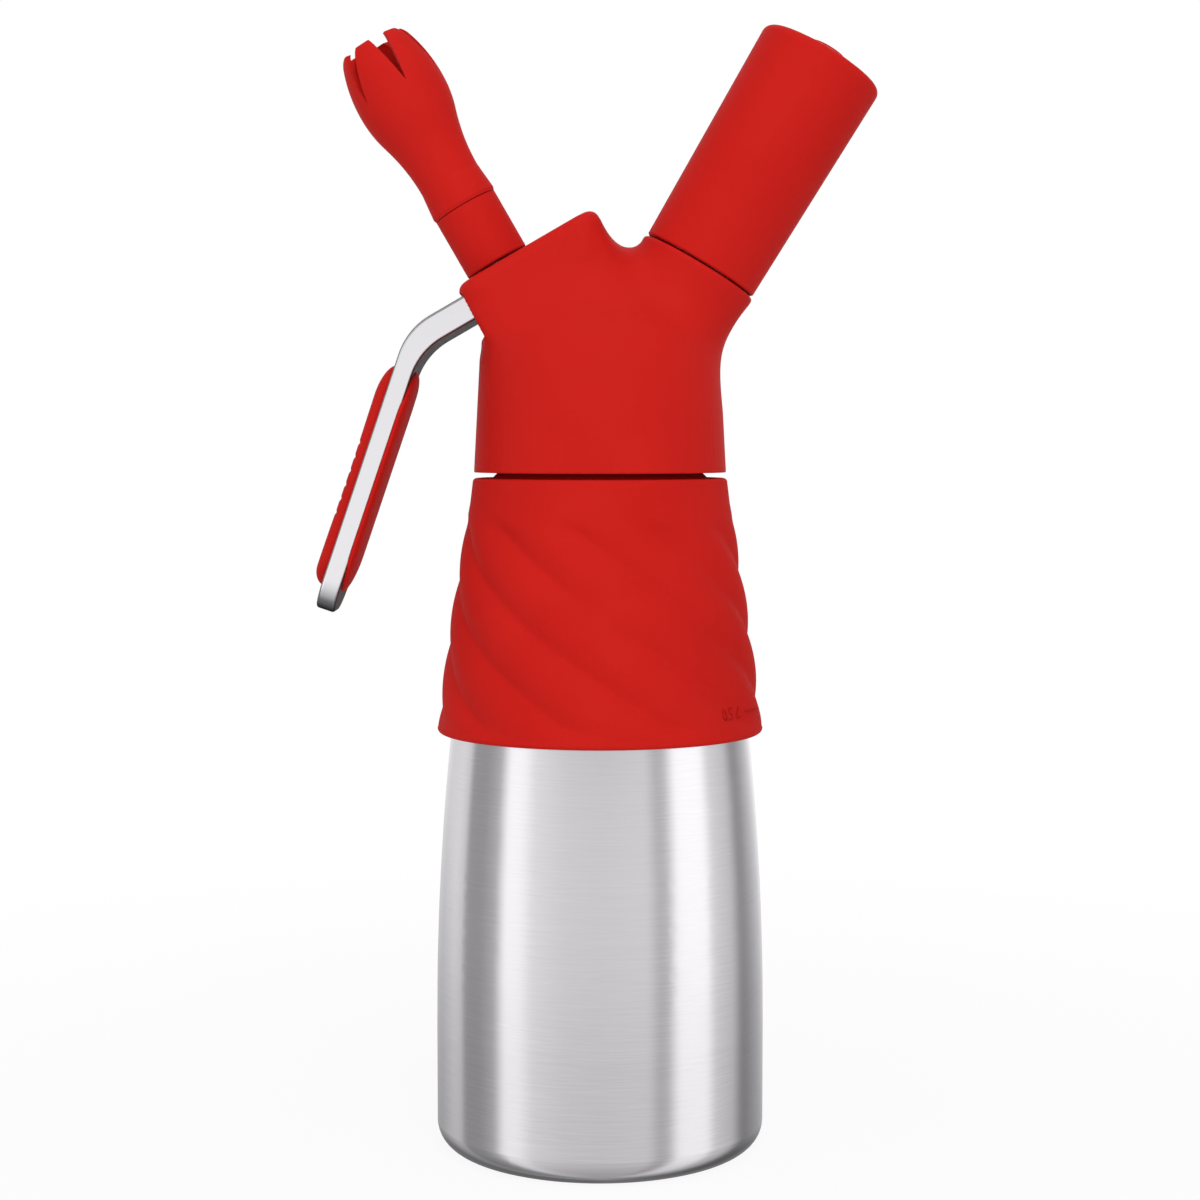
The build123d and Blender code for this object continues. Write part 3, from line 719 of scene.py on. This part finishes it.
def buildGrip():
    lean = math.radians(grip["lean"])
    along = Vector((-math.sin(lean), 0.0, -math.cos(lean)))
    out = Vector((-math.cos(lean), 0.0, math.sin(lean)))
    across = out.cross(along)
    points = []
    faces = []
    shells = [
        padShell(grip["outer"], 0.0, 1.0),
        padShell(grip["inner"], grip["padSeat"] - grip["barThickness"], -1.0),
        webShell(),
    ]
    for shellPoints, shellFaces in shells:
        start = len(points)
        points += [grip["middle"] + along * x + across * y + out * z for x, y, z in shellPoints]
        faces += [tuple(start + index for index in face) for face in shellFaces]
    piece = meshObject("gripRibbed", points, faces, siliconeRed)
    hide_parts("lever_grip")
    fitPiece(piece, "lever")


buildGrip()
print("grip made")

# threads, shown when a piece is screwed off: radius, span along the axis and section of each ridge
threads = {
    "neckThread": {
        "joint": "head_turn", "body": "bottle", "slot": "steel",
        "radius": 24.4 * mm, "span": (-6.0 * mm, 4.0 * mm), "starts": 2, "phase": 0.0,
        "rise": 0.7 * mm, "root": 1.8 * mm, "crest": 0.8 * mm,
    },
    "headThread": {
        "joint": "head_turn", "body": "head", "slot": "red_plastic",
        "radius": 25.4 * mm, "span": (-5.0 * mm, 5.0 * mm), "starts": 2, "phase": 90.0,
        "rise": -0.6 * mm, "root": 1.4 * mm, "crest": 0.7 * mm,
    },
    "studThread": {
        "joint": "holder_turn", "body": "head", "slot": "steel_parts",
        "radius": 11.5 * mm, "span": (1.4 * mm, 8.4 * mm), "starts": 2, "phase": 0.0,
        "rise": 0.14 * mm, "root": 1.0 * mm, "crest": 0.4 * mm,
    },
    "stubThread": {
        "joint": "nozzle_turn", "body": "valve", "slot": "red_plastic",
        "radius": 5.0 * mm, "span": (18.9 * mm, 22.9 * mm), "starts": 2, "phase": 0.0,
        "rise": 0.14 * mm, "root": 0.8 * mm, "crest": 0.35 * mm,
    },
}
threadLooks = {"steel": steelBottle, "red_plastic": softTouchRed, "steel_parts": steelInner}
threadStep = 6.0  # degrees between sections
threadFade = 30.0  # degrees over which a ridge runs out
threadLap = 0.1 * mm  # how deep a ridge's foot lies in its wall


def axisMatrix(joint):
    place = Vector(joint["pos_m"])
    tilt = math.atan2(joint["axis"][0], joint["axis"][2])
    return Matrix.Translation(place) @ Matrix.Rotation(tilt, 4, "Y")


def buildThread(name, thread):
    lead = leads[thread["joint"]]
    low, high = thread["span"]
    total = math.degrees((high - low) / lead * 2.0 * math.pi)
    steps = int(total / threadStep)
    matrix = axisMatrix(joints[thread["joint"]])
    buried = math.copysign(threadLap, thread["rise"])
    points = []
    faces = []
    for start in range(thread["starts"]):
        first = len(points)
        for i in range(steps + 1):
            turned = total * i / steps
            angle = math.radians(turned + thread["phase"] + 360.0 * start / thread["starts"])
            fade = smoothStep(0.0, threadFade, turned) * smoothStep(0.0, threadFade, total - turned)
            level = low + lead * turned / 360.0
            crest = thread["radius"] + thread["rise"] * fade
            foot = thread["radius"] - buried
            section = [(foot, -thread["root"]), (crest, -thread["crest"]), (crest, thread["crest"])]
            section.append((foot, thread["root"]))
            for radius, width in section:
                corner = (radius * math.cos(angle), radius * math.sin(angle), level + width / 2.0)
                points.append(matrix @ Vector(corner))
        end = first + 4 * steps
        faces += [tuple(first + index for index in face) for face in bridge(steps + 1, 4)]
        faces += [(first, first + 1, first + 2, first + 3), (end, end + 1, end + 2, end + 3)]
    piece = meshObject(name, points, faces, threadLooks[thread["slot"]])
    fitPiece(piece, thread["body"])


for name, thread in threads.items():
    buildThread(name, thread)
print("threads made")

# dark red ring set in the gap at the stud's foot, just under the holder's rim, as painted shade
studShadeRing = {"inner": 11.52 * mm, "outer": 12.9 * mm, "bottom": 0.03 * mm, "top": 0.43 * mm, "steps": 120}


def buildStudShadeRing():
    inner = studShadeRing["inner"]
    outer = studShadeRing["outer"]
    bottom = studShadeRing["bottom"]
    top = studShadeRing["top"]
    matrix = axisMatrix(joints["holder_turn"])
    count = studShadeRing["steps"]
    points = []
    for radius, level in ((inner, bottom), (outer, bottom), (outer, top), (inner, top)):
        for i in range(count):
            angle = 2.0 * math.pi * i / count
            corner = (radius * math.cos(angle), radius * math.sin(angle), level)
            points.append(matrix @ Vector(corner))
    piece = meshObject("studShadeRing", points, bridge(4, count, closed=True), sealShadeRed)
    fitPiece(piece, "head")


buildStudShadeRing()
print("stud ring made")

# studio: pale floor, soft lamps and bright and grey bands for the metal to show
studio = {
    "floorSize": 6.0,
    "floorColour": (0.93, 0.93, 0.93, 1.0),
    "floorRoughness": 0.9,
    "floorGlow": (0.90, 1.0),
    "floorFade": (0.08, 0.40),
    "ambient": 0.46,
    "bands": [
        (-180, 1.05), (-148, 0.92), (-124, 1.08), (-114, 0.95), (-109, 0.46), (-92, 0.47), (-79, 0.66),
        (-70, 1.62), (-58, 1.56), (-48, 1.20), (-24, 1.05), (0, 1.02), (34, 1.06), (42, 0.72), (48, 0.78),
        (57, 1.66), (80, 1.66), (88, 1.06), (106, 0.86), (117, 0.42), (124, 0.44), (138, 0.70),
        (165, 1.20), (180, 1.25),
    ],
    "lower": [
        (-1.0, 0.50), (-0.7, 0.66), (-0.45, 0.76), (-0.27, 0.82), (-0.20, 0.95), (-0.13, 1.0), (1.0, 1.0),
    ],
    "bandTint": (1.0, 0.985, 1.0),
    "underBottle": (0.08, 0.34, 0.3),
    "lampAim": (0.0, 0.0, 0.14),
}

lamps = {
    "keyFront": {"at": (0.25, -1.3, 0.8), "size": 0.9, "power": 7.0},
    "fillLeft": {"at": (-1.1, -0.8, 0.45), "size": 0.9, "power": 1.8},
    "topSoft": {"at": (0.0, -0.5, 1.25), "size": 1.0, "power": 3.8},
}


def levelRamp(tree, value, stops, low, high):
    # a grey ramp over plain values, and the level that its white stands for
    top = max(level for _, level in stops)
    ramp = addNode(tree, "ShaderNodeValToRGB")
    elements = ramp.color_ramp.elements
    while len(elements) > 1:
        elements.remove(elements[-1])
    for index, (at, level) in enumerate(stops):
        position = (at - low) / (high - low)
        element = elements[0] if index == 0 else elements.new(position)
        element.position = position
        element.color = (level / top, level / top, level / top, 1.0)
    tree.links.new(spread(tree, value, 0.0, 1.0, low, high), ramp.inputs["Fac"])
    return mathNode(tree, "MULTIPLY", ramp.outputs["Color"], top)


def background(tree, colour, strength):
    node = addNode(tree, "ShaderNodeBackground")
    node.inputs["Color"].default_value = (*colour, 1.0)
    if isinstance(strength, float):
        node.inputs["Strength"].default_value = strength
    else:
        tree.links.new(strength, node.inputs["Strength"])
    return node.outputs[0]


def blendShaders(tree, share, first, second):
    mix = addNode(tree, "ShaderNodeMixShader")
    for socket, value in zip(mix.inputs, (share, first, second)):
        tree.links.new(value, socket)
    return mix.outputs[0]


def buildWorld():
    world = bpy.data.worlds.new("studioWorld")
    world.use_nodes = True
    bpy.context.scene.world = world
    tree = world.node_tree
    tree.nodes.clear()
    place = addNode(tree, "ShaderNodeTexCoord")
    split = addNode(tree, "ShaderNodeSeparateXYZ")
    tree.links.new(place.outputs["Generated"], split.inputs[0])
    x, y, z = split.outputs
    # azimuth 0 points back at the camera and grows towards the charger side
    azimuth = mathNode(tree, "ARCTAN2", x, mathNode(tree, "MULTIPLY", y, -1.0))
    degrees = mathNode(tree, "MULTIPLY", azimuth, math.degrees(1.0))
    level = levelRamp(tree, degrees, studio["bands"], -180.0, 180.0)
    level = mathNode(tree, "MULTIPLY", level, levelRamp(tree, z, studio["lower"], -1.0, 1.0))
    start, end, darkest = studio["underBottle"]
    behind = mathNode(tree, "MULTIPLY", y, mathNode(tree, "MULTIPLY", z, -1.0))
    level = mathNode(tree, "MULTIPLY", level, spread(tree, behind, 1.0, darkest, start, end))
    rays = addNode(tree, "ShaderNodeLightPath")
    shiny = mathNode(tree, "MAXIMUM", rays.outputs["Is Glossy Ray"], rays.outputs["Is Transmission Ray"])
    white = (1.0, 1.0, 1.0)
    plain = background(tree, white, studio["ambient"])
    lit = blendShaders(tree, shiny, plain, background(tree, studio["bandTint"], level))
    seen = blendShaders(tree, rays.outputs["Is Camera Ray"], lit, background(tree, white, 1.0))
    output = addNode(tree, "ShaderNodeOutputWorld")
    tree.links.new(seen, output.inputs["Surface"])


def buildFloor():
    half = studio["floorSize"] / 2.0
    mesh = bpy.data.meshes.new("studioFloor")
    square = [(-half, -half, 0), (half, -half, 0), (half, half, 0), (-half, half, 0)]
    mesh.from_pydata(square, [], [(0, 1, 2, 3)])
    floor = bpy.data.objects.new("studioFloor", mesh)
    bpy.context.scene.collection.objects.link(floor)
    floor.visible_glossy = False
    material, tree, shader = newMaterial("floorPale")
    shader.inputs["Base Color"].default_value = studio["floorColour"]
    shader.inputs["Roughness"].default_value = studio["floorRoughness"]
    shader.inputs["Specular IOR Level"].default_value = 0.0
    glow = addNode(tree, "ShaderNodeEmission")
    place = addNode(tree, "ShaderNodeTexCoord")
    away = addNode(tree, "ShaderNodeVectorMath", operation="LENGTH")
    tree.links.new(place.outputs["Object"], away.inputs[0])
    paler = spread(tree, away.outputs["Value"], *studio["floorGlow"], *studio["floorFade"])
    rays = addNode(tree, "ShaderNodeLightPath")
    share = mathNode(tree, "MULTIPLY", rays.outputs["Is Camera Ray"], paler)
    surface = blendShaders(tree, share, shader.outputs[0], glow.outputs[0])
    tree.links.new(surface, tree.nodes["Material Output"].inputs["Surface"])
    mesh.materials.append(material)


def buildLamps():
    aim = Vector(studio["lampAim"])
    for name, lamp in lamps.items():
        data = bpy.data.lights.new(name, "AREA")
        data.shape = "SQUARE"
        data.size = lamp["size"]
        data.energy = lamp["power"]
        light = bpy.data.objects.new(name, data)
        light.location = lamp["at"]
        light.rotation_euler = (aim - light.location).to_track_quat("-Z", "Y").to_euler()
        light.visible_glossy = False
        bpy.context.scene.collection.objects.link(light)


buildWorld()
buildFloor()
buildLamps()
print("studio made")
